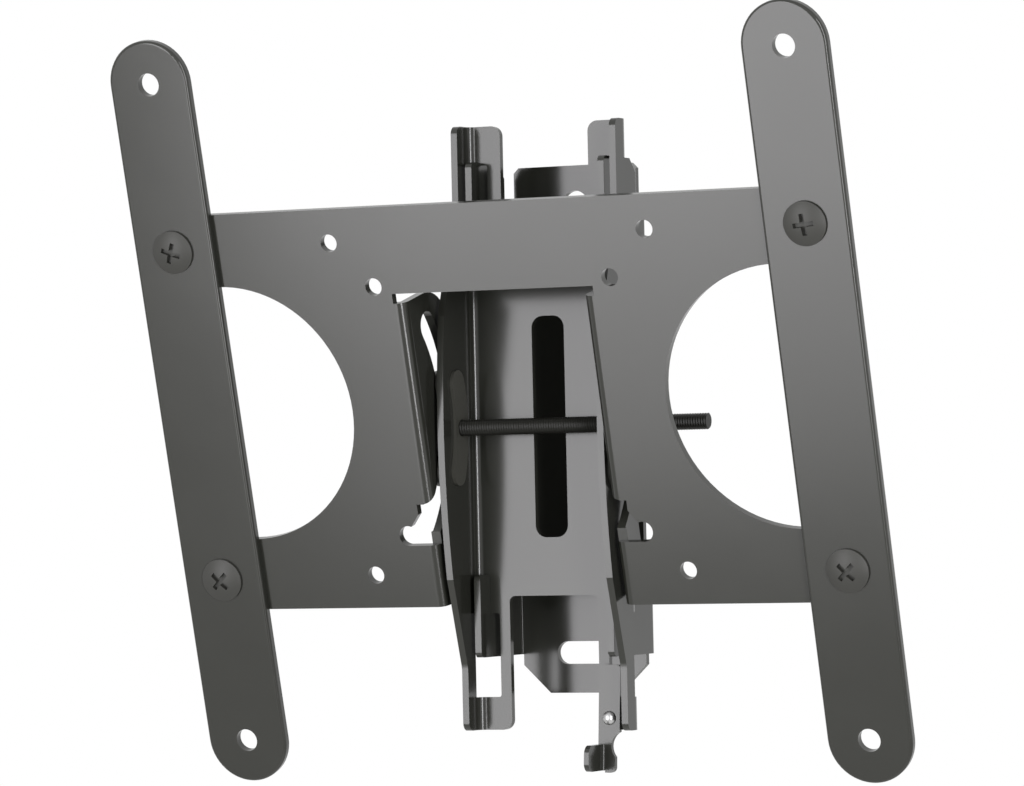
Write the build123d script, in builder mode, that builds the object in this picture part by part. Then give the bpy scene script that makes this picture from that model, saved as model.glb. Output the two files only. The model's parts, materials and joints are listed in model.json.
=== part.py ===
"""Tilting television wall bracket, at its real size in millimetres.

The wall is the plane Y = 0, the room is towards -Y, +X is to the right and +Z is up. The origin is on the
wall plate's back face, at its middle. The face plate is tilted down, as for a screen above eye level.
"""

from build123d import *
from math import cos, radians, sin
import os

os.makedirs("parts", exist_ok=True)

# Sheets
channel_sheet = 2.0
face_sheet = 2.5
bar_sheet = 2.5

# Clearances
slide_gap = 0.3
guide_gap = 0.3
seat_gap = 0.1
thread_gap = 0.05
pivot_gap = 0.08

# Wall plate: a U that opens towards the room
wall_width = 44.6
wall_top = 72.2
wall_bottom = -73.0
wall_depth = 30.0
wall_bend = 2.4
wall_lug_upper_length = 23.2
wall_lug_lower_length = 24.2
wall_lug_round = 1.8
wall_lip = 0.6
wall_hook_depth = 10.8
wall_web_margin = 2.4
wall_web_drop = 0.6
wall_web_slope = 1.6
wall_relief_length = 17.2
wall_relief_depth = 7.7
wall_corner_slope = 3.9
wall_tab_length = 11.5
wall_tab_straight = 3.2
wall_tab_foot_width = 22.6
wall_hole_diameter = 8.4
wall_hole_z = 59.9
wall_slot_length = 17.6
wall_slot_width = 6.7
wall_slot_z = -72.6

# Hanging channel: a U in front of the wall plate, carried on the wall plate's upper lugs
channel_width = 53.0
channel_standoff = 21.0
channel_bend = 4.2
channel_top = 82.9
channel_bottom = -94.4
flange_shallow = 9.6
flange_deep_upper = 20.5
flange_deep_middle = 22.2
flange_deep_lower = 18.2
flange_upper_end = 60.0
flange_upper_knee = 27.0
flange_middle = -14.0
flange_lower_knee = -50.0
flange_lower_end = -76.0
flange_corner = 2.5
flange_knee_round = 8.0
window_upper_half_gap = 18.5
window_lower_half_gap = 17.5
window_upper_bottom = 37.5
window_lower_top = -60.2
window_lower_bottom = -84.8
window_fold_reach = 4.3
window_round = 0.8
web_notch_width = 28.4
web_notch_upper_floor = 48.0
web_notch_lower_roof = -55.2
web_notch_round = 1.8
web_end_round = 3.0
web_slot_width = 10.4
web_slot_top = 26.6
web_slot_bottom = -38.2
web_slot_round = 3.5

# Tilt: the face plate turns about a line in front of it, guided by arc slots round that line
tilt_rest = 15.0
rod_standoff = 32.7
tilt_axis_z = -5.7
axis_ahead_of_face = 24.4
axis_above_face_centre = 0.6
arc_radius = 42.5
arc_slot_width = 8.7
arc_slot_top_angle = 29.5
arc_slot_exit_angle = -65.0
guide_half_angle = 17.6
guide_collar_width = 13.0
guide_inner_lip = 0.8

# Face plate
face_height = 120.0
face_end_margin = 10.0
face_end_round = 6.0
face_bend = 3.0
face_flange_clearance = 1.8
face_flange_rear_margin = 4.55
face_flange_top = 31.3
face_fold_notch = 0.6
face_flange_rear_round = 14.5
face_flange_taper_start = -12.0
face_flange_taper_end = -38.0
face_flange_foot_depth = 12.0
face_opening_top = 34.2
side_notch_radius = 38.4
side_notch_centre = 88.4
screen_hole_diameter = 5.2
narrow_pattern = 75.0
narrow_pattern_drop = 1.0
middle_pattern = 100.0
relief_top = -28.9
relief_bottom = -41.3
relief_side = 33.5
relief_shoulder = -32.0
relief_waist_x = 36.3
relief_waist_z = -35.6
relief_round = 3.0

# Adapter bars
bar_spacing = 200.0
bar_width = 25.8
wide_pattern = 200.0
bar_hole_diameter = 6.8
bar_edge_round = 0.9

# Bar screws and nuts
screw_spacing = 100.0
screw_diameter = 6.0
screw_hole_diameter = 6.4
screw_head_diameter = 12.8
screw_head_height = 2.3
screw_head_rim = 0.7
screw_length = 12.0
screw_end_chamfer = 0.7
recess_span = 6.2
recess_width = 1.4
recess_depth = 1.5
recess_turn_upper_left = -20.0
recess_turn_upper_right = 5.0
recess_turn_lower = 45.0
bar_nut_flats = 10.0
bar_nut_height = 5.0

# Tilt rod, its nut and washers
rod_diameter = 4.8
rod_length = 87.2
rod_end_chamfer = 0.7
rod_head_flats = 8.0
rod_head_height = 3.5
washer_diameter = 15.0
washer_hole_diameter = 5.3
washer_thickness = 1.2
lock_nut_flats = 8.0
lock_nut_hex_height = 3.4
lock_nut_collar_height = 1.6
lock_nut_collar_diameter = 7.2
nut_corner_turned = 0.92

# Latch lever and rivet
latch_sheet = 1.5
latch_lean = 2.0
latch_left = 14.5
latch_width = 6.7
latch_top = -75.4
latch_bottom = -106.8
latch_bite_top = -94.9
latch_bite_bottom = -102.2
latch_bite_depth = 2.5
latch_toe_inset = 1.3
latch_toe_round = 1.6
latch_corner = 1.2
latch_tab_reach = 10.0
latch_tab_height = 7.6
latch_tab_offset = 0.6
latch_tab_bend = 2.2
latch_tab_round = 2.6
rivet_x = 17.9
rivet_z = -90.9
rivet_diameter = 2.6
rivet_head_diameter = 4.0
rivet_head_height = 1.3
rivet_tail_diameter = 3.8
rivet_tail_height = 0.8

# Places worked out from the sizes above
wall_flange_outer = wall_width / 2
wall_web_width = wall_width - 2 * wall_web_margin
lug_upper_foot = wall_top - wall_lug_upper_length
lug_lower_head = wall_bottom + wall_lug_lower_length
channel_back = -channel_standoff
channel_face = channel_back - channel_sheet
channel_flange_outer = channel_width / 2
channel_flange_inner = channel_flange_outer - channel_sheet
window_roof = wall_top - wall_lip
rod_y = -rod_standoff
rod_z = tilt_axis_z
tilt_axis_y = rod_y - arc_radius
face_half_length = bar_spacing / 2 + face_end_margin
face_flange_half_gap = channel_width / 2 + face_flange_clearance
face_flange_outer = face_flange_half_gap + face_sheet
face_flange_depth = arc_radius - axis_ahead_of_face + arc_slot_width / 2 + face_flange_rear_margin
guide_width = arc_slot_width - 2 * guide_gap
washer_seat = face_flange_outer + slide_gap
rod_seat = washer_seat + washer_thickness
latch_back = channel_face - slide_gap
latch_front = latch_back - latch_sheet
latch_right = latch_left + latch_width

# The face plate's own plane: its origin is the middle of its front face and its normal faces the room
lean = radians(tilt_rest)
face_y = tilt_axis_y + axis_ahead_of_face * cos(lean) + axis_above_face_centre * sin(lean)
face_z = tilt_axis_z + axis_ahead_of_face * sin(lean) - axis_above_face_centre * cos(lean)
face_plane = Plane(origin=(0, face_y, face_z), x_dir=(1, 0, 0), z_dir=(0, -cos(lean), -sin(lean)))
face_back_plane = face_plane.offset(-face_sheet)
bar_front_plane = face_plane.offset(bar_sheet)

# A cut across the face plate, seen from below: x is to the right and y is the depth behind its front
face_section_plane = Plane(origin=face_plane.origin, x_dir=(1, 0, 0), z_dir=face_plane.y_dir)

# The face plate seen from the side: x is the depth behind its front and y is up
face_side_plane = Plane(origin=face_plane.origin, x_dir=-face_plane.z_dir, z_dir=(1, 0, 0))
face_side_axis = (-axis_ahead_of_face, axis_above_face_centre)

# The bracket seen from the side: x is towards the wall and y is up
side_plane = Plane.YZ
side_axis = (tilt_axis_y, tilt_axis_z)


def arc_about(centre, radius, first_angle, last_angle):
    """The middle line of an arc slot, by its centre, radius and two angles in degrees."""
    with BuildLine(mode=Mode.PRIVATE) as path:
        CenterArc(centre, radius, first_angle, last_angle - first_angle)
    return path.line.edge()


def folded_u(width, back, depth, bend, bottom, top):
    """A sheet folded to a U that opens towards the room, added to the part that is being built."""
    inside = depth - channel_sheet
    with BuildSketch(Plane.XY.offset(bottom)) as section:
        with Locations((0, back - depth / 2)):
            Rectangle(width, depth)
        fillet(section.vertices().group_by(Axis.Y)[-1], bend)
        with BuildSketch(mode=Mode.PRIVATE) as hollow:
            with Locations((0, back - channel_sheet - inside / 2)):
                Rectangle(width - 2 * channel_sheet, inside)
            fillet(hollow.vertices().group_by(Axis.Y)[-1], bend - channel_sheet)
        add(hollow.sketch, mode=Mode.SUBTRACT)
    extrude(section.sketch, amount=top - bottom)


def nut_blank(plane, flats, height):
    """A hexagon whose corners are turned off at both ends, added to the part that is being built."""
    corner = flats / 3**0.5
    flat_edge = nut_corner_turned * flats / 2
    turned = (corner - flat_edge) / 3**0.5
    with BuildSketch(plane) as hexagon:
        RegularPolygon(flats / 2, 6, major_radius=False)
    extrude(hexagon.sketch, amount=height)
    with BuildSketch(Plane(origin=plane.origin, x_dir=plane.x_dir, z_dir=-plane.y_dir)) as turning:
        with BuildLine():
            Polyline(
                (0, 0),
                (flat_edge, 0),
                (corner, turned),
                (corner, height - turned),
                (flat_edge, height),
                (0, height),
                close=True,
            )
        make_face()
    revolve(turning.sketch, axis=Axis(plane.origin, plane.z_dir), mode=Mode.INTERSECT)


# Wall plate
with BuildPart() as wall_plate:
    folded_u(wall_width, 0, wall_depth, wall_bend, wall_bottom, wall_top)
    # Between the lugs only the flat web is left
    with BuildSketch(Plane.XZ):
        between_lugs = (lug_upper_foot + lug_lower_head) / 2
        for side in (-1, 1):
            with Locations((side * (wall_web_width + wall_width) / 2, between_lugs)):
                Rectangle(wall_width, lug_upper_foot - lug_lower_head)
    extrude(amount=wall_depth + 1, mode=Mode.SUBTRACT)
    # Front corners of the lugs
    lug_front = wall_plate.edges().filter_by(Axis.X).group_by(Axis.Y)[0]
    fillet(lug_front, wall_lug_round)
    # Seat in each upper lug, where the channel's window edge rests behind a low lip
    with BuildSketch(side_plane):
        with Locations((channel_back - channel_sheet / 2, wall_top)):
            Rectangle(channel_sheet + 2 * seat_gap, 2 * wall_lip)
    extrude(amount=wall_width, both=True, mode=Mode.SUBTRACT)
    # Upward hook slot in each lower lug, where the channel's web drops in
    with BuildSketch(side_plane):
        with Locations((channel_back - channel_sheet / 2, lug_lower_head)):
            Rectangle(channel_sheet + 2 * seat_gap, 2 * wall_hook_depth)
    extrude(amount=wall_width, both=True, mode=Mode.SUBTRACT)
    # Slots beside the web's top end, behind the upper lugs, with a sloped corner on each lug
    for side in (-1, 1):
        with BuildSketch(side_plane.offset(side * wall_web_width / 2)):
            with BuildLine():
                Polyline(
                    (1, wall_top - wall_relief_length),
                    (-wall_relief_depth, wall_top - wall_relief_length),
                    (-wall_relief_depth, wall_top - wall_corner_slope),
                    (-wall_relief_depth - wall_corner_slope, wall_top),
                    (-wall_relief_depth - wall_corner_slope, wall_top + 1),
                    (1, wall_top + 1),
                    close=True,
                )
            make_face()
        extrude(amount=side * wall_width, mode=Mode.SUBTRACT)
    # The web ends a little lower, with sloped corners
    with BuildSketch(Plane.XZ):
        with Locations((0, wall_top)):
            Rectangle(wall_web_width + 0.2, 2 * wall_web_drop)
    extrude(amount=channel_sheet, mode=Mode.SUBTRACT)
    web_sides = wall_plate.edges().filter_by(Axis.Y).filter_by_position(Axis.Y, -channel_sheet, 0)
    chamfer(web_sides.group_by(Axis.Z)[-1], wall_web_slope)
    # Tab below the flanges
    with BuildSketch(Plane.XZ):
        with BuildLine():
            Polyline(
                (-wall_web_width / 2, wall_bottom + channel_sheet),
                (-wall_web_width / 2, wall_bottom - wall_tab_straight),
                (-wall_tab_foot_width / 2, wall_bottom - wall_tab_length),
                (wall_tab_foot_width / 2, wall_bottom - wall_tab_length),
                (wall_web_width / 2, wall_bottom - wall_tab_straight),
                (wall_web_width / 2, wall_bottom + channel_sheet),
                close=True,
            )
        make_face()
    extrude(amount=channel_sheet)
    # Round hole above and level slot below, for the wall screws
    with BuildSketch(Plane.XZ):
        with Locations((0, wall_hole_z)):
            Circle(wall_hole_diameter / 2)
        with Locations((0, wall_slot_z)):
            SlotOverall(wall_slot_length, wall_slot_width)
    extrude(amount=channel_sheet, mode=Mode.SUBTRACT)
wall_plate.part.label = "wall_plate"
export_step(wall_plate.part, "parts/wall_plate.step")

# Hanging channel
with BuildPart() as hanging_channel:
    folded_u(
        channel_width, channel_back, flange_deep_middle + 1, channel_bend, channel_bottom, channel_top
    )
    # Side outline: the flanges grow deeper between the top and the bottom
    with BuildSketch(side_plane) as outline:
        with BuildLine():
            Polyline(
                (channel_back - flange_deep_lower, flange_lower_knee),
                (channel_back - flange_shallow, flange_lower_end),
                (channel_back - flange_shallow, channel_bottom),
                (channel_back, channel_bottom),
                (channel_back, channel_top),
                (channel_back - flange_shallow, channel_top),
                (channel_back - flange_shallow, flange_upper_end),
                (channel_back - flange_deep_upper, flange_upper_knee),
            )
            ThreePointArc(
                (channel_back - flange_deep_upper, flange_upper_knee),
                (channel_back - flange_deep_middle, flange_middle),
                (channel_back - flange_deep_lower, flange_lower_knee),
            )
        make_face()
        # In the sketch, x is the depth and y is the height
        shallow = channel_back - flange_shallow
        knees = outline.vertices().filter_by_position(Axis.X, shallow - 0.01, shallow + 0.01)
        fillet(knees.sort_by(Axis.Y)[1:3], flange_knee_round)
        ends = outline.vertices().filter_by_position(Axis.X, shallow - 0.01, shallow + 0.01)
        fillet([ends.sort_by(Axis.Y)[0], ends.sort_by(Axis.Y)[-1]], flange_corner)
    extrude(amount=channel_width, both=True, mode=Mode.INTERSECT)
    # Windows through the web and the folds, for the wall plate's lugs
    with BuildSketch(Plane.XZ.offset(channel_standoff)):
        for side in (-1, 1):
            for half_gap, low, high in (
                (window_upper_half_gap, window_upper_bottom, window_roof),
                (window_lower_half_gap, window_lower_bottom, window_lower_top),
            ):
                with Locations((side * (half_gap + channel_width / 2), (low + high) / 2)):
                    RectangleRounded(channel_width, high - low, window_round)
    extrude(amount=window_fold_reach, mode=Mode.SUBTRACT)
    # Notches at the top and bottom and the long slot in the web
    with BuildSketch(Plane.XZ.offset(channel_standoff)):
        for floor, end in ((web_notch_upper_floor, channel_top), (web_notch_lower_roof, channel_bottom)):
            with Locations((0, end)):
                RectangleRounded(web_notch_width, 2 * abs(end - floor), web_notch_round)
        with Locations((0, (web_slot_top + web_slot_bottom) / 2)):
            RectangleRounded(web_slot_width, web_slot_top - web_slot_bottom, web_slot_round)
    extrude(amount=channel_sheet, mode=Mode.SUBTRACT)
    # Rounded ends beside the notches
    web_ends = hanging_channel.edges().filter_by(Axis.Y).group_by(Axis.Z)
    notch_reach = web_notch_width / 2 + 0.1
    notch_corners = (web_ends[0] + web_ends[-1]).filter_by_position(Axis.X, -notch_reach, notch_reach)
    fillet(notch_corners, web_end_round)
    # Arc holes that hold the guides, and the hole for the latch rivet
    with BuildSketch(side_plane):
        SlotArc(
            arc_about(side_axis, arc_radius, -guide_half_angle, guide_half_angle),
            guide_width + 2 * seat_gap,
        )
    extrude(amount=channel_width, both=True, mode=Mode.SUBTRACT)
    with BuildSketch(Plane.XZ.offset(channel_standoff)):
        with Locations((rivet_x, rivet_z)):
            Circle(rivet_diameter / 2 + seat_gap / 2)
    extrude(amount=channel_sheet, mode=Mode.SUBTRACT)
hanging_channel.part.label = "hanging_channel"
export_step(hanging_channel.part, "parts/hanging_channel.step")

# Face plate
with BuildPart() as face_plate:
    # Both halves with their flanges, as one folded section
    with BuildSketch(face_section_plane.offset(-face_height / 2)):
        for side in (-1, 1):
            with BuildLine():
                Polyline(
                    (side * face_half_length, 0),
                    (side * (face_flange_half_gap + face_bend), 0),
                )
                RadiusArc(
                    (side * (face_flange_half_gap + face_bend), 0),
                    (side * face_flange_half_gap, face_bend),
                    side * face_bend,
                )
                Polyline(
                    (side * face_flange_half_gap, face_bend),
                    (side * face_flange_half_gap, face_flange_depth),
                    (side * face_flange_outer, face_flange_depth),
                    (side * face_flange_outer, face_bend),
                )
                RadiusArc(
                    (side * face_flange_outer, face_bend),
                    (side * (face_flange_half_gap + face_bend), face_sheet),
                    -side * (face_bend - face_sheet),
                )
                Polyline(
                    (side * (face_flange_half_gap + face_bend), face_sheet),
                    (side * face_half_length, face_sheet),
                    (side * face_half_length, 0),
                )
            make_face()
    extrude(amount=face_height / 2 + face_flange_top)
    # Top of the plate, with a small relief notch above each fold
    with BuildSketch(face_back_plane):
        with BuildLine():
            notch_side = face_flange_half_gap + face_bend + face_fold_notch
            Polyline(
                (-face_half_length, face_height / 2),
                (-face_half_length, face_flange_top),
                (-notch_side, face_flange_top),
                (-notch_side, face_opening_top),
                (notch_side, face_opening_top),
                (notch_side, face_flange_top),
                (face_half_length, face_flange_top),
                (face_half_length, face_height / 2),
                close=True,
            )
        make_face()
    extrude(amount=face_sheet)
    # Rounded plate corners
    end_faces = face_plate.faces().filter_by(Axis.X).group_by(Axis.X)
    corners = (end_faces[0] + end_faces[-1]).edges().filter_by(Axis(face_plane.origin, face_plane.z_dir))
    fillet(corners, face_end_round)
    # Side notches, screw holes and the relief cuts beside the folds
    with BuildSketch(face_back_plane):
        for side in (-1, 1):
            with Locations((side * side_notch_centre, 0)):
                Circle(side_notch_radius)
            with Locations((side * (side_notch_centre + face_half_length / 2), 0)):
                Rectangle(face_half_length, 2 * side_notch_radius)
            with Locations((side * narrow_pattern / 2, narrow_pattern / 2 - narrow_pattern_drop)):
                Circle(screen_hole_diameter / 2)
            with BuildLine():
                Polyline(
                    (side * (face_flange_half_gap - 1), relief_top),
                    (side * relief_side, relief_top),
                    (side * relief_side, relief_shoulder),
                    (side * relief_waist_x, relief_waist_z),
                    (side * narrow_pattern / 2, relief_bottom + relief_round),
                    (side * narrow_pattern / 2, relief_bottom),
                    (side * (face_flange_half_gap - 1), relief_bottom),
                    close=True,
                )
            make_face()
            with Locations((side * narrow_pattern / 2, relief_bottom + relief_round)):
                Circle(relief_round)
        with GridLocations(middle_pattern, middle_pattern, 2, 2):
            Circle(screen_hole_diameter / 2)
        with GridLocations(bar_spacing, screw_spacing, 2, 2):
            Circle(screw_hole_diameter / 2)
    extrude(amount=face_sheet, mode=Mode.SUBTRACT)
    # Arc slots about the tilt axis, open through the fold, and the flanges' rear outline
    with BuildSketch(face_side_plane):
        SlotArc(
            arc_about(face_side_axis, arc_radius, arc_slot_exit_angle, arc_slot_top_angle),
            arc_slot_width,
        )
        with BuildLine():
            Polyline(
                (face_flange_foot_depth, -face_height / 2 - 1),
                (face_flange_foot_depth, face_flange_taper_end),
                (face_flange_depth, face_flange_taper_start),
                (face_flange_depth + 1, face_flange_taper_start),
                (face_flange_depth + 1, -face_height / 2 - 1),
                close=True,
            )
        make_face()
    extrude(amount=face_flange_half_gap + face_bend, both=True, mode=Mode.SUBTRACT)
    # Large round at each flange's rear top corner
    with BuildSketch(face_side_plane):
        rear_round_centre = (
            face_flange_depth - face_flange_rear_round,
            face_flange_top - face_flange_rear_round,
        )
        with Locations((face_flange_depth, face_flange_top)):
            Rectangle(2 * face_flange_rear_round, 2 * face_flange_rear_round)
        with Locations(rear_round_centre):
            Circle(face_flange_rear_round, mode=Mode.SUBTRACT)
    extrude(amount=face_flange_outer + 1, both=True, mode=Mode.SUBTRACT)
face_plate.part.label = "face_plate"
export_step(face_plate.part, "parts/face_plate.step")

# Adapter bars: flat, with round ends and a screen hole at each end
for side, hand in ((-1, "left"), (1, "right")):
    with BuildPart() as adapter_bar:
        with BuildSketch(face_plane):
            with Locations((side * bar_spacing / 2, 0)):
                SlotCenterToCenter(wide_pattern, bar_width, rotation=90)
            with Locations((side * bar_spacing / 2, 0)):
                with GridLocations(0, wide_pattern, 1, 2):
                    Circle(bar_hole_diameter / 2, mode=Mode.SUBTRACT)
                with GridLocations(0, screw_spacing, 1, 2):
                    Circle(screw_hole_diameter / 2, mode=Mode.SUBTRACT)
        extrude(amount=bar_sheet)
        bar_front = adapter_bar.faces().sort_by(Axis(face_plane.origin, face_plane.z_dir))[-1]
        fillet(bar_front.outer_wire().edges(), bar_edge_round)
    adapter_bar.part.label = hand + "_adapter_bar"
    export_step(adapter_bar.part, "parts/" + hand + "_adapter_bar.step")

# Bar screws with low round heads, and their nuts behind the face plate
for level, height, side, hand, recess_turn in (
    (1, "upper", -1, "left", recess_turn_upper_left),
    (1, "upper", 1, "right", recess_turn_upper_right),
    (-1, "lower", -1, "left", recess_turn_lower),
    (-1, "lower", 1, "right", recess_turn_lower),
):
    place = (side * bar_spacing / 2, level * screw_spacing / 2)
    head_seat = face_plane.from_local_coords((place[0], place[1], bar_sheet))
    nut_seat = face_plane.from_local_coords((place[0], place[1], -face_sheet))
    head_top = face_plane.from_local_coords((place[0], place[1], bar_sheet + screw_head_height))
    with BuildPart() as bar_screw:
        # Half section: x is the radius and y is the depth below the head
        with BuildSketch(Plane(origin=head_seat, x_dir=(1, 0, 0), z_dir=face_plane.y_dir)):
            with BuildLine():
                TangentArc(
                    (0, -screw_head_height),
                    (screw_head_diameter / 2, -screw_head_rim),
                    tangent=(1, 0),
                )
                Polyline(
                    (screw_head_diameter / 2, -screw_head_rim),
                    (screw_head_diameter / 2, 0),
                    (screw_diameter / 2, 0),
                    (screw_diameter / 2, screw_length - screw_end_chamfer),
                    (screw_diameter / 2 - screw_end_chamfer, screw_length),
                    (0, screw_length),
                    (0, -screw_head_height),
                )
            make_face()
        revolve(axis=Axis(head_seat, face_plane.z_dir))
        # Cross recess, as the screw came to rest when it was driven
        with BuildSketch(Plane(origin=head_top, x_dir=(1, 0, 0), z_dir=face_plane.z_dir)):
            Rectangle(recess_span, recess_width, rotation=recess_turn)
            Rectangle(recess_width, recess_span, rotation=recess_turn)
        extrude(amount=-recess_depth, mode=Mode.SUBTRACT)
    bar_screw.part.label = height + "_" + hand + "_bar_screw"
    export_step(bar_screw.part, "parts/" + height + "_" + hand + "_bar_screw.step")

    with BuildPart() as bar_nut:
        seat_plane = Plane(origin=nut_seat, x_dir=(1, 0, 0), z_dir=-face_plane.z_dir)
        nut_blank(seat_plane, bar_nut_flats, bar_nut_height)
        with BuildSketch(seat_plane):
            Circle(screw_diameter / 2 + thread_gap)
        extrude(amount=bar_nut_height, mode=Mode.SUBTRACT)
    bar_nut.part.label = height + "_" + hand + "_bar_nut"
    export_step(bar_nut.part, "parts/" + height + "_" + hand + "_bar_nut.step")

# Tilt rod: a long bolt across the channel, with its head on the left
with BuildPart() as tilt_rod:
    head_plane = Plane(origin=(-rod_seat, rod_y, rod_z), x_dir=(0, 1, 0), z_dir=(-1, 0, 0))
    nut_blank(head_plane, rod_head_flats, rod_head_height)
    with BuildSketch(Plane(origin=(-rod_seat, rod_y, rod_z), x_dir=(0, 1, 0), z_dir=(1, 0, 0))):
        Circle(rod_diameter / 2)
    extrude(amount=rod_length)
    rod_tip = tilt_rod.faces().sort_by(Axis.X)[-1]
    chamfer(rod_tip.edges(), rod_end_chamfer)
tilt_rod.part.label = "tilt_rod"
export_step(tilt_rod.part, "parts/tilt_rod.step")

# Lock nut on the rod's threaded end, with a rounded collar over its nylon ring
with BuildPart() as tilt_lock_nut:
    lock_nut_plane = Plane(origin=(rod_seat, rod_y, rod_z), x_dir=(0, 1, 0), z_dir=(1, 0, 0))
    nut_blank(lock_nut_plane, lock_nut_flats, lock_nut_hex_height)
    with BuildSketch(lock_nut_plane.offset(lock_nut_hex_height)):
        Circle(lock_nut_collar_diameter / 2)
    extrude(amount=lock_nut_collar_height)
    collar_rim = tilt_lock_nut.faces().sort_by(Axis.X)[-1]
    fillet(collar_rim.edges(), lock_nut_collar_height / 2)
    with BuildSketch(lock_nut_plane):
        Circle(rod_diameter / 2 + thread_gap)
    extrude(amount=lock_nut_hex_height + lock_nut_collar_height, mode=Mode.SUBTRACT)
tilt_lock_nut.part.label = "tilt_lock_nut"
export_step(tilt_lock_nut.part, "parts/tilt_lock_nut.step")

for side, hand in ((-1, "left"), (1, "right")):
    # Wide washer that bridges the arc slot
    with BuildPart() as clamp_washer:
        with BuildSketch(side_plane.offset(side * washer_seat)):
            with Locations((rod_y, rod_z)):
                Circle(washer_diameter / 2)
                Circle(washer_hole_diameter / 2, mode=Mode.SUBTRACT)
        extrude(amount=side * washer_thickness)
    clamp_washer.part.label = hand + "_clamp_washer"
    export_step(clamp_washer.part, "parts/" + hand + "_clamp_washer.step")

    # Arc guide: its key fills the arc hole in the channel and runs in the face plate's arc slot
    with BuildPart() as arc_guide:
        guide_start = channel_flange_inner - guide_inner_lip
        collar_end = face_flange_half_gap - slide_gap
        key_line = arc_about(side_axis, arc_radius, -guide_half_angle, guide_half_angle)
        with BuildSketch(side_plane.offset(side * guide_start)):
            SlotArc(key_line, guide_width)
        extrude(amount=side * (face_flange_outer - guide_start))
        with BuildSketch(side_plane.offset(side * channel_flange_outer)):
            SlotArc(key_line, guide_collar_width)
        extrude(amount=side * (collar_end - channel_flange_outer))
        with BuildSketch(side_plane.offset(side * guide_start)):
            with Locations((rod_y, rod_z)):
                Circle(rod_diameter / 2 + seat_gap)
        extrude(amount=side * (face_flange_outer - guide_start), mode=Mode.SUBTRACT)
    arc_guide.part.label = hand + "_arc_guide"
    export_step(arc_guide.part, "parts/" + hand + "_arc_guide.step")

# Latch lever: a flat blade with a finger tab bent forward at its lower left
with BuildPart() as latch_lever:
    tab_bottom = latch_bottom + latch_tab_offset
    tab_top = tab_bottom + latch_tab_height
    tab_front = latch_front - latch_tab_reach
    toe_right = latch_right - latch_toe_inset
    with BuildSketch(Plane.XZ.offset(-latch_back)) as blade:
        with BuildLine():
            Polyline(
                (latch_left + latch_tab_bend, latch_bottom),
                (latch_left + latch_tab_bend, tab_top),
                (latch_left, tab_top),
                (latch_left, latch_top),
                (latch_right, latch_top),
                (latch_right, latch_bite_top),
            )
            ThreePointArc(
                (latch_right, latch_bite_top),
                (latch_right - latch_bite_depth, (latch_bite_top + latch_bite_bottom) / 2),
                (toe_right, latch_bite_bottom),
            )
            Polyline(
                (toe_right, latch_bite_bottom),
                (toe_right, latch_bottom),
                (latch_left + latch_tab_bend, latch_bottom),
            )
        make_face()
        fillet(blade.vertices().group_by(Axis.Y)[0].sort_by(Axis.X)[-1], latch_toe_round)
        with Locations((rivet_x, rivet_z)):
            Circle(rivet_diameter / 2 + pivot_gap, mode=Mode.SUBTRACT)
    extrude(amount=latch_sheet)
    # The bent tab, as a folded section
    with BuildSketch(Plane.XY.offset(tab_bottom)):
        with BuildLine():
            Polyline(
                (latch_left, latch_back - latch_tab_bend),
                (latch_left, tab_front),
                (latch_left + latch_sheet, tab_front),
                (latch_left + latch_sheet, latch_back - latch_tab_bend),
            )
            RadiusArc(
                (latch_left + latch_sheet, latch_back - latch_tab_bend),
                (latch_left + latch_tab_bend, latch_front),
                latch_tab_bend - latch_sheet,
            )
            Line((latch_left + latch_tab_bend, latch_front), (latch_left + latch_tab_bend, latch_back))
            RadiusArc(
                (latch_left + latch_tab_bend, latch_back),
                (latch_left, latch_back - latch_tab_bend),
                -latch_tab_bend,
            )
        make_face()
    extrude(amount=latch_tab_height)
    fillet(latch_lever.edges().filter_by(Axis.X).group_by(Axis.Y)[0], latch_tab_round)
    fillet(latch_lever.edges().filter_by(Axis.Y).group_by(Axis.Z)[-1], latch_corner)
# It hangs a little off upright on its rivet
leaning_latch = latch_lever.part.rotate(Axis((rivet_x, 0, rivet_z), (0, 1, 0)), latch_lean)
leaning_latch.label = "latch_lever"
export_step(leaning_latch, "parts/latch_lever.step")

# Latch rivet: a domed head in front, a shank through both sheets and a low set head behind
with BuildPart() as latch_rivet:
    head_base = latch_front - slide_gap
    with BuildSketch(Plane(origin=(rivet_x, 0, rivet_z), x_dir=(1, 0, 0), z_dir=(0, 0, 1))):
        with BuildLine():
            TangentArc(
                (0, head_base - rivet_head_height),
                (rivet_head_diameter / 2, head_base),
                tangent=(1, 0),
            )
            Polyline(
                (rivet_head_diameter / 2, head_base),
                (rivet_diameter / 2, head_base),
                (rivet_diameter / 2, channel_back),
                (rivet_tail_diameter / 2, channel_back),
                (rivet_tail_diameter / 2 - 0.3, channel_back + rivet_tail_height),
                (0, channel_back + rivet_tail_height),
                (0, head_base - rivet_head_height),
            )
        make_face()
    revolve(axis=Axis((rivet_x, 0, rivet_z), (0, 1, 0)))
latch_rivet.part.label = "latch_rivet"
export_step(latch_rivet.part, "parts/latch_rivet.step")
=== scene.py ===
# %% [markdown]
# # A tilting wall bracket for a television
#
# The bracket is folded steel sheet with a dark powder coat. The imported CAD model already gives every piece
# its place and its size, so nothing is moved or resized here. This file adds the finishes, the thread on
# the tilt rod, the light and the camera. All lengths are in metres.

# %% Load the frame
import bpy
import json
import math
from mathutils import Matrix, Vector


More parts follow.
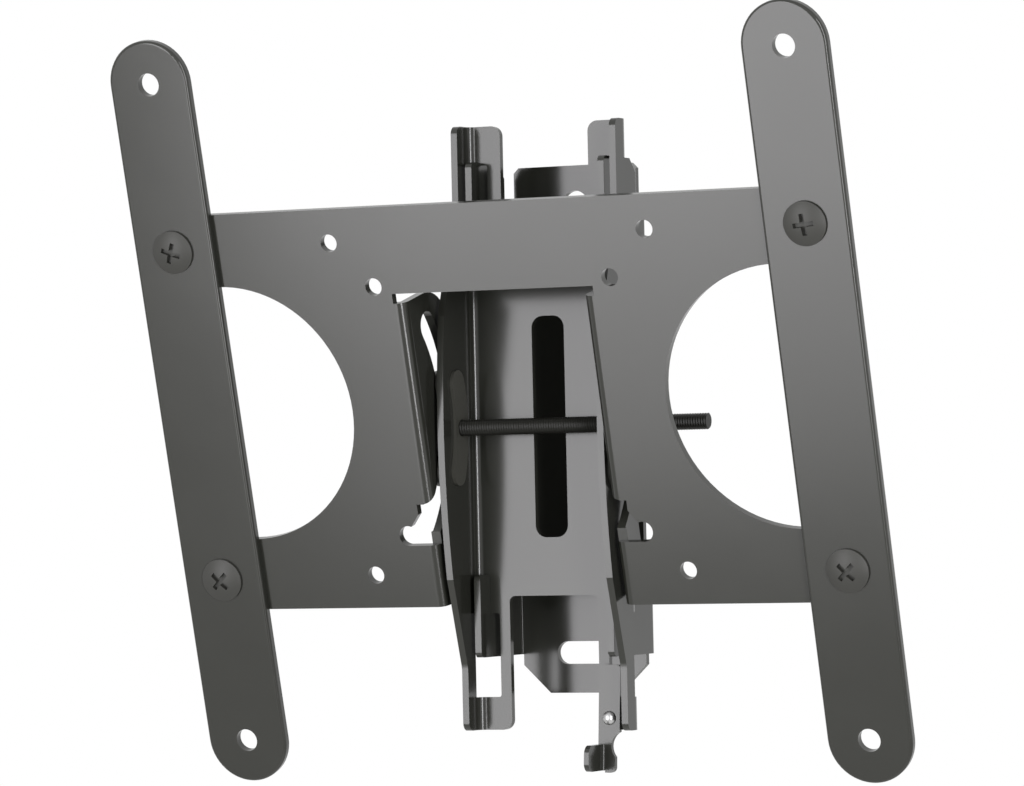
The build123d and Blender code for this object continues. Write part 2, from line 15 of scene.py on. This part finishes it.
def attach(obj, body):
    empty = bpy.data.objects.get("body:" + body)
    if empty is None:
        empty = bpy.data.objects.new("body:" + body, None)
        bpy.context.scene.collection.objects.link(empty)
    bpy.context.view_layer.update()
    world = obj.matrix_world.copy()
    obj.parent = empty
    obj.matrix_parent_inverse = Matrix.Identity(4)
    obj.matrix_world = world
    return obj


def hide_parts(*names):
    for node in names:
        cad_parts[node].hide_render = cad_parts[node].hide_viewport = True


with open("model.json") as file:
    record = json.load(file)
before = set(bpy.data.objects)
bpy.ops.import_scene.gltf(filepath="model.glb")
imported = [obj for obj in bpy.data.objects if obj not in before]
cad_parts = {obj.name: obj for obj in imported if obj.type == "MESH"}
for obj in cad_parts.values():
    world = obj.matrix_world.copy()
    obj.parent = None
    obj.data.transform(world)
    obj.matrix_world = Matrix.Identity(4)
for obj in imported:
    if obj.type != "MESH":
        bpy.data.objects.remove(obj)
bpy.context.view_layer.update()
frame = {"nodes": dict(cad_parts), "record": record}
record = frame["record"]

# %% [markdown]
# ## The camera
#
# The photograph was taken with a long lens from the right, a little below the bracket's middle. A camera is
# a place, a direction to look along and a direction that is up in the picture. It could be turned by eye,
# but writing those three down is exact and gives the same picture each time.

# %% Camera of the photograph
camera_place = Vector((0.64701, -1.40263, -0.02709))
camera_look = Vector((-0.43092, 0.90216, 0.02052)).normalized()
camera_up = Vector((0.028394, -0.009168, 0.999555)).normalized()
camera_right = camera_look.cross(camera_up).normalized()
camera_up = camera_right.cross(camera_look).normalized()
sensor_width_mm = 36.0
focal_length_pixels = 5214.0
photo_width_pixels = 1024.0

camera_data = bpy.data.cameras.new("photo_camera")
camera_data.sensor_width = sensor_width_mm
camera_data.sensor_fit = "HORIZONTAL"
camera_data.lens = sensor_width_mm * focal_length_pixels / photo_width_pixels
camera_data.clip_start = 0.01
camera_data.clip_end = 50.0
camera = bpy.data.objects.new("photo_camera", camera_data)
bpy.context.scene.collection.objects.link(camera)
turn = Matrix((camera_right, camera_up, -camera_look)).transposed().to_4x4()
camera.matrix_world = Matrix.Translation(camera_place) @ turn
bpy.context.scene.camera = camera
print("lens", round(camera_data.lens, 1), "mm")

# %% [markdown]
# ## Helpers for node trees
#
# A material is a tree of nodes joined by links. Each could be made and joined line by line, but that hides
# what the tree does. One helper makes a node and sets its sockets by name. The other makes a Math node and
# joins or sets its inputs in order.

# %% Node helpers
def node(tree, kind, **values):
    """A new node of this kind, with some of its sockets set by name."""
    made = tree.nodes.new(kind)
    for name, value in values.items():
        made.inputs[name.replace("_", " ")].default_value = value
    return made


def math_result(tree, operation, *inputs):
    """The result of a new Math node. Each input is a number or another node's output."""
    made = tree.nodes.new("ShaderNodeMath")
    made.operation = operation
    for socket, value in zip(made.inputs, inputs):
        if isinstance(value, float):
            socket.default_value = value
        else:
            tree.links.new(value, socket)
    return made.outputs["Value"]


print("node helpers made")

# %% [markdown]
# ## The studio
#
# The photograph shows the bracket on plain white. A white world would do that, but at full strength it
# would also light the dark coat until it is grey. So the world is white only where the camera, a mirror
# image or glass looks at it, and to everything else it gives a weak soft light. A Light Path node tells the
# two apart.

# %% What is looked at
def seen_directly(tree):
    """1 for rays of the camera, of mirror images and of glass, and 0 for rays that only bring light."""
    path = tree.nodes.new("ShaderNodeLightPath").outputs
    camera_or_gloss = math_result(tree, "MAXIMUM", path["Is Camera Ray"], path["Is Glossy Ray"])
    return math_result(tree, "MAXIMUM", camera_or_gloss, path["Is Transmission Ray"])


print("light path helper made")

# %% [markdown]
# The world's tree mixes two backgrounds, the white one that is seen and the soft one that lights. The
# Standard view shows colours as they are written.

# %% White world with its own soft light
scene = bpy.context.scene
scene.view_settings.view_transform = "Standard"
white = (1.0, 1.0, 1.0, 1.0)
soft_light_color = (1.0, 1.0, 0.94, 1.0)
soft_light_level = 0.25
world = bpy.data.worlds.new("studio_world")
scene.world = world
world.use_nodes = True
sky = world.node_tree
sky.nodes.clear()
seen = node(sky, "ShaderNodeBackground", Color=white, Strength=1.0)
soft = node(sky, "ShaderNodeBackground", Color=soft_light_color, Strength=soft_light_level)
choose = sky.nodes.new("ShaderNodeMixShader")
out = sky.nodes.new("ShaderNodeOutputWorld")
sky.links.new(seen_directly(sky), choose.inputs["Fac"])
sky.links.new(soft.outputs["Background"], choose.inputs[1])
sky.links.new(seen.outputs["Background"], choose.inputs[2])
sky.links.new(choose.outputs["Shader"], out.inputs["Surface"])
print("world made, soft light at", soft_light_level)

# %% [markdown]
# ## The lamps
#
# The coat is dark and satin, so most of what the camera sees on it is the mirror image of a lamp. The large
# lamp at the left front stands where the upright faces mirror it. The face plate leans down by 15 degrees
# and mirrors the lamp's lower and left edges, so it grows darker towards its lower left, as in the
# photograph. A dimmer band below the large lamp softens that edge. A narrow strip at the right front draws
# the bright lines along the folds. Point lamps would give small hard glints instead, so all three are
# rectangles.

# %% Soft lamps
bracket_middle = Vector((0.0, -0.04, 0.0))
lamp_color = (0.985, 0.975, 1.0)


def soft_lamp(name, place, width, height, brightness, roll_degrees=0.0):
    """A soft rectangle at place that faces the bracket. Brightness is that of its face."""
    data = bpy.data.lights.new(name, "AREA")
    data.shape = "RECTANGLE"
    data.size = width
    data.size_y = height
    data.energy = brightness * math.pi * width * height
    data.color = lamp_color
    lamp = bpy.data.objects.new(name, data)
    scene.collection.objects.link(lamp)
    direction = (bracket_middle - Vector(place)).normalized()
    facing = direction.to_track_quat("-Z", "Y").to_matrix().to_4x4()
    roll = Matrix.Rotation(math.radians(roll_degrees), 4, "Z")
    lamp.matrix_world = Matrix.Translation(Vector(place)) @ facing @ roll
    print(name, round(data.energy, 2), "watts")


soft_lamp(
    "lamp_left_front", place=(-0.497, -1.42, -0.02),
    width=0.63, height=1.22, brightness=5.6, roll_degrees=-3.0,
)
soft_lamp(
    "lamp_lower_edge", place=(-0.485, -1.42, -0.715),
    width=0.67, height=0.15, brightness=3.2, roll_degrees=-3.0,
)
soft_lamp("lamp_strip_right", place=(1.05, -1.05, 0.0), width=0.32, height=1.3, brightness=13.0)

# %% [markdown]
# ## The floor
#
# A plain pale floor lies well below the bracket and keeps its shadow. Lit by the lamps alone it would look
# grey from the sides that they don't reach.

# %% Floor
floor_size = 8.0
floor_level = -1.5
floor_color = (0.88, 0.88, 0.87, 1.0)
floor_roughness = 0.8
floor_glow = 0.55

bpy.ops.object.select_all(action="DESELECT")
bpy.ops.mesh.primitive_plane_add(size=floor_size, location=(0.0, 0.0, floor_level))
floor = bpy.context.object
floor.name = "studio_floor"
floor_paint = bpy.data.materials.new("floor_white")
floor_paint.use_nodes = True
floor_tree = floor_paint.node_tree
floor_shader = floor_tree.nodes["Principled BSDF"]
floor_shader.inputs["Base Color"].default_value = floor_color
floor_shader.inputs["Roughness"].default_value = floor_roughness
floor_shader.inputs["Emission Color"].default_value = white
glow_seen = math_result(floor_tree, "MULTIPLY", seen_directly(floor_tree), floor_glow)
floor_tree.links.new(glow_seen, floor_shader.inputs["Emission Strength"])
floor.data.materials.append(floor_paint)
print("floor made at", floor_level)

# %% [markdown]
# ## Shared effect: powder-coat grain
#
# A powder coat melts into a skin with a faint ripple, like the skin of an orange. The ripple is far too
# fine to model, so a noise feeds a Bump node. A second, much coarser noise changes the gloss and the colour
# a little from place to place. One node group makes all three, and each finish uses it with its own values.

# %% Sockets of the grain group
coat_group = bpy.data.node_groups.new("powder_coat_grain", "ShaderNodeTree")
grain_inputs = {
    "Color": "NodeSocketColor",
    "Shade Change": "NodeSocketFloat",
    "Roughness": "NodeSocketFloat",
    "Gloss Change": "NodeSocketFloat",
    "Ripple Scale": "NodeSocketFloat",
    "Ripple Height": "NodeSocketFloat",
}
grain_outputs = {
    "Color": "NodeSocketColor",
    "Roughness": "NodeSocketFloat",
    "Normal": "NodeSocketVector",
}
for side, sockets in (("INPUT", grain_inputs), ("OUTPUT", grain_outputs)):
    for name, kind in sockets.items():
        coat_group.interface.new_socket(name=name, in_out=side, socket_type=kind)
print("node group", coat_group.name, "with", len(grain_inputs), "inputs")

# %% [markdown]
# Inside the group, both noises read Object coordinates, so the grain stays on a piece when the piece moves.
# A noise runs from 0 to 1. Taking its middle value away makes it signed, so that the patches lighten as
# much as they darken.

# %% Nodes of the grain group
noise_middle = 0.5
unchanged = 1.0
enter = coat_group.nodes.new("NodeGroupInput")
leave = coat_group.nodes.new("NodeGroupOutput")
where = coat_group.nodes.new("ShaderNodeTexCoord")
ripple = node(coat_group, "ShaderNodeTexNoise", Detail=2.0, Roughness=0.5)
patches = node(coat_group, "ShaderNodeTexNoise", Scale=35.0, Detail=3.0, Roughness=0.6)
bump = node(coat_group, "ShaderNodeBump", Strength=1.0)
link = coat_group.links.new
link(where.outputs["Object"], ripple.inputs["Vector"])
link(where.outputs["Object"], patches.inputs["Vector"])
link(enter.outputs["Ripple Scale"], ripple.inputs["Scale"])
link(enter.outputs["Ripple Height"], bump.inputs["Distance"])
link(ripple.outputs["Fac"], bump.inputs["Height"])
link(bump.outputs["Normal"], leave.inputs["Normal"])

signed = math_result(coat_group, "SUBTRACT", patches.outputs["Fac"], noise_middle)
shade = math_result(coat_group, "MULTIPLY_ADD", signed, enter.outputs["Shade Change"], unchanged)
tint = coat_group.nodes.new("ShaderNodeVectorMath")
tint.operation = "SCALE"
link(enter.outputs["Color"], tint.inputs[0])
link(shade, tint.inputs["Scale"])
link(tint.outputs["Vector"], leave.inputs["Color"])
gloss = math_result(
    coat_group, "MULTIPLY_ADD", signed, enter.outputs["Gloss Change"], enter.outputs["Roughness"],
)
link(gloss, leave.inputs["Roughness"])
print("grain nodes:", len(coat_group.nodes))

# %% [markdown]
# ## Finishes
#
# The folded sheets, the adapter bars and the latch share the satin powder coat. The bar screws are
# blackened steel. The nuts, the clamp washers and the latch's rivet are zinc-plated and stay bright, and
# the arc guides are nylon. The tilt rod gets a darker colour than the screws and a lower IOR, which weakens
# its sheen, so it has a finish of its own. Each could be one flat colour, but real coats and platings vary a
# little, so all of them use the grain.

# %% Helper for a finish
shade_change = 0.12
gloss_change = 0.05


def coated_finish(name, color, roughness, ripple_scale, ripple_height, metallic=0.0, ior=1.5):
    """A material with the shared grain. Metallic is for bare or plated metal."""
    finish = bpy.data.materials.new(name)
    finish.use_nodes = True
    tree = finish.node_tree
    shader = tree.nodes["Principled BSDF"]
    shader.inputs["Metallic"].default_value = metallic
    shader.inputs["IOR"].default_value = ior
    grain = tree.nodes.new("ShaderNodeGroup")
    grain.node_tree = coat_group
    grain.inputs["Color"].default_value = (*color, 1.0)
    grain.inputs["Shade Change"].default_value = shade_change
    grain.inputs["Roughness"].default_value = roughness
    grain.inputs["Gloss Change"].default_value = gloss_change
    grain.inputs["Ripple Scale"].default_value = ripple_scale
    grain.inputs["Ripple Height"].default_value = ripple_height
    tree.links.new(grain.outputs["Color"], shader.inputs["Base Color"])
    tree.links.new(grain.outputs["Roughness"], shader.inputs["Roughness"])
    tree.links.new(grain.outputs["Normal"], shader.inputs["Normal"])
    print("finish", name)
    return finish


# %% [markdown]
# The colours are dark, because most of what shows on the coat is the lamps' mirror image. The lower the
# roughness, the sharper that image is.

# %% The finishes
powder = coated_finish(
    "graphite_powder_coat", color=(0.024, 0.0247, 0.0205), roughness=0.17,
    ripple_scale=900.0, ripple_height=0.000003,
)
black_steel = coated_finish(
    "blackened_steel", color=(0.03, 0.03, 0.026), roughness=0.5,
    ripple_scale=1500.0, ripple_height=0.000006,
)
# The rod's finish is darker than the screws' and has a lower IOR, which weakens its sheen.
darker_rod_finish = coated_finish(
    "blackened_thread", color=(0.006, 0.006, 0.004), roughness=0.42,
    ripple_scale=1500.0, ripple_height=0.000006, ior=1.33,
)
zinc = coated_finish(
    "zinc_plated_steel", color=(0.5, 0.5, 0.5), roughness=0.32,
    ripple_scale=1800.0, ripple_height=0.000004, metallic=1.0,
)
nylon = coated_finish(
    "black_nylon", color=(0.05, 0.05, 0.042), roughness=0.4,
    ripple_scale=1200.0, ripple_height=0.000008,
)

# %% [markdown]
# The record names a material slot for each piece, so each piece's finish is looked up there by that name.

# %% Finishes on the pieces
finish_of_slot = {"powder_coat": powder, "black_steel": black_steel, "zinc_steel": zinc, "nylon": nylon}
slot_of_node = {part["node"]: part["material_slot"] for part in record["subparts"]}
for node_name, piece in frame["nodes"].items():
    piece.data.materials.clear()
    piece.data.materials.append(finish_of_slot[slot_of_node[node_name]])
print("finishes on", len(frame["nodes"]), "pieces")

# %% [markdown]
# ## The thread on the tilt rod
#
# The rod is a long set bolt with a thread rolled along its whole length. Rolling presses a ridge into the
# bar that winds round it like a stair. A bump in the material could stand for it, but the thread shows at
# the rod's outline, so it is modelled. First the CAD rod is measured, because the thread has to lie where
# that rod lies.

# %% Place of the rod
rod_cad = frame["nodes"]["tilt_rod"]
rod_points = [vertex.co for vertex in rod_cad.data.vertices]
lowest = [min(point[axis] for point in rod_points) for axis in range(3)]
highest = [max(point[axis] for point in rod_points) for axis in range(3)]
rod_left, rod_right = lowest[0], highest[0]
rod_y, rod_z = (0.5 * (lowest[axis] + highest[axis]) for axis in (1, 2))
head_thickness = 0.0035
head_face = rod_left + head_thickness
print("rod from", round(rod_left, 4), "to", round(rod_right, 4))

# %% [markdown]
# One turn of the ridge is drawn as a line: the valley, the slope up, the flat crest and the slope down. The
# spin tool could wind it by hand, one turn after another, but the Screw modifier winds all turns in one step.
# Some spare turns at each end are cut off later.

# %% Ridge wound round the rod
thread_pitch = 0.0008
crest_radius = 0.00238
root_radius = 0.00190
valley_end, crest_start, crest_end = 0.12, 0.50, 0.62
steps_per_turn = 24
spare_turns = 2
thread_start = head_face - spare_turns * thread_pitch
thread_turns = math.ceil((rod_right - thread_start) / thread_pitch) + spare_turns

ridge_line = [
    (0.0, root_radius),
    (valley_end * thread_pitch, root_radius),
    (crest_start * thread_pitch, crest_radius),
    (crest_end * thread_pitch, crest_radius),
    (thread_pitch, root_radius),
]
ridge_edges = [(number, number + 1) for number in range(len(ridge_line) - 1)]
ridge = bpy.data.meshes.new("tilt_rod_thread")
ridge.from_pydata([(x, radius, 0.0) for x, radius in ridge_line], ridge_edges, [])
shank = bpy.data.objects.new("threaded_tilt_rod", ridge)
bpy.context.scene.collection.objects.link(shank)
shank.location = (thread_start, rod_y, rod_z)
winding = shank.modifiers.new("winding", "SCREW")
winding.axis = "X"
winding.angle = 2.0 * math.pi
winding.screw_offset = thread_pitch
winding.iterations = thread_turns
winding.steps = steps_per_turn
winding.render_steps = steps_per_turn
print("one turn is", thread_pitch, "long, turns:", thread_turns)

# %% [markdown]
# An operator works on all that is selected, so one object alone is taken in hand before each step. The cut
# across the rod is needed three times. It keeps one side and closes the hole, and its threshold is tiny,
# because a larger one pulls the thread's own points onto the cut.

# %% Helpers for one piece in hand
cut_tolerance = 0.0000001


def take_in_hand(piece):
    """Selects this one object and makes it the active one."""
    bpy.ops.object.select_all(action="DESELECT")
    piece.select_set(True)
    bpy.context.view_layer.objects.active = piece


def cut_across(cut_x, keep_right):
    """Cuts the mesh in edit mode square to the rod, keeps one side and closes it."""
    bpy.ops.mesh.select_all(action="SELECT")
    bpy.ops.mesh.bisect(
        plane_co=(cut_x, 0, 0), plane_no=(1, 0, 0), use_fill=True,
        clear_inner=keep_right, clear_outer=not keep_right, threshold=cut_tolerance,
    )
    print("cut at", round(cut_x, 5))


# %% [markdown]
# The winding becomes a plain mesh, its turns are merged into one skin, and both ends are cut off square.
# The shank starts a little inside the head and ends where the CAD rod ends.

# %% Threaded shank
turns_merged_within = 0.00001
shank_inside_head = 0.0002
take_in_hand(shank)
bpy.ops.object.modifier_apply(modifier=winding.name)
bpy.ops.object.transform_apply(location=True, rotation=True, scale=True)
bpy.ops.object.mode_set(mode="EDIT")
bpy.ops.mesh.select_all(action="SELECT")
bpy.ops.mesh.remove_doubles(threshold=turns_merged_within)
cut_across(head_face - shank_inside_head, keep_right=True)
cut_across(rod_right, keep_right=False)
bpy.ops.mesh.select_all(action="SELECT")
bpy.ops.mesh.normals_make_consistent(inside=False)
bpy.ops.object.mode_set(mode="OBJECT")
print("shank faces:", len(shank.data.polygons))

# %% [markdown]
# The head could be drawn again as a hexagon, but a cut from a copy of the CAD rod has the same six flats
# and corners. The CAD mesh is loose triangles, so the copy is merged first. The cut lies a hair past the
# head's face.

# %% Head of the rod
corners_merged_within = 0.000001
past_head_face = 0.00001
head = rod_cad.copy()
head.data = rod_cad.data.copy()
head.name = "tilt_rod_head"
bpy.context.scene.collection.objects.link(head)
take_in_hand(head)
bpy.ops.object.mode_set(mode="EDIT")
bpy.ops.mesh.select_all(action="SELECT")
bpy.ops.mesh.remove_doubles(threshold=corners_merged_within)
cut_across(head_face + past_head_face, keep_right=False)
bpy.ops.mesh.select_all(action="SELECT")
bpy.ops.mesh.normals_make_consistent(inside=False)
bpy.ops.object.mode_set(mode="OBJECT")
print("head faces:", len(head.data.polygons))

# %% [markdown]
# Head and shank are joined, because the real bolt is one piece. It stands for the CAD rod and rides on the
# same body, and it takes the rod's own darker finish. Only slopes that meet at more than 30 degrees stay
# sharp, so the winding looks round.

# %% The finished rod
sharp_from = math.radians(30.0)
take_in_hand(shank)
head.select_set(True)
bpy.ops.object.join()
bpy.ops.object.shade_smooth_by_angle(angle=sharp_from)
shank.data.materials.clear()
shank.data.materials.append(darker_rod_finish)
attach(shank, "wall_unit")
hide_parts("tilt_rod")
print("threaded rod:", len(shank.data.polygons), "faces")
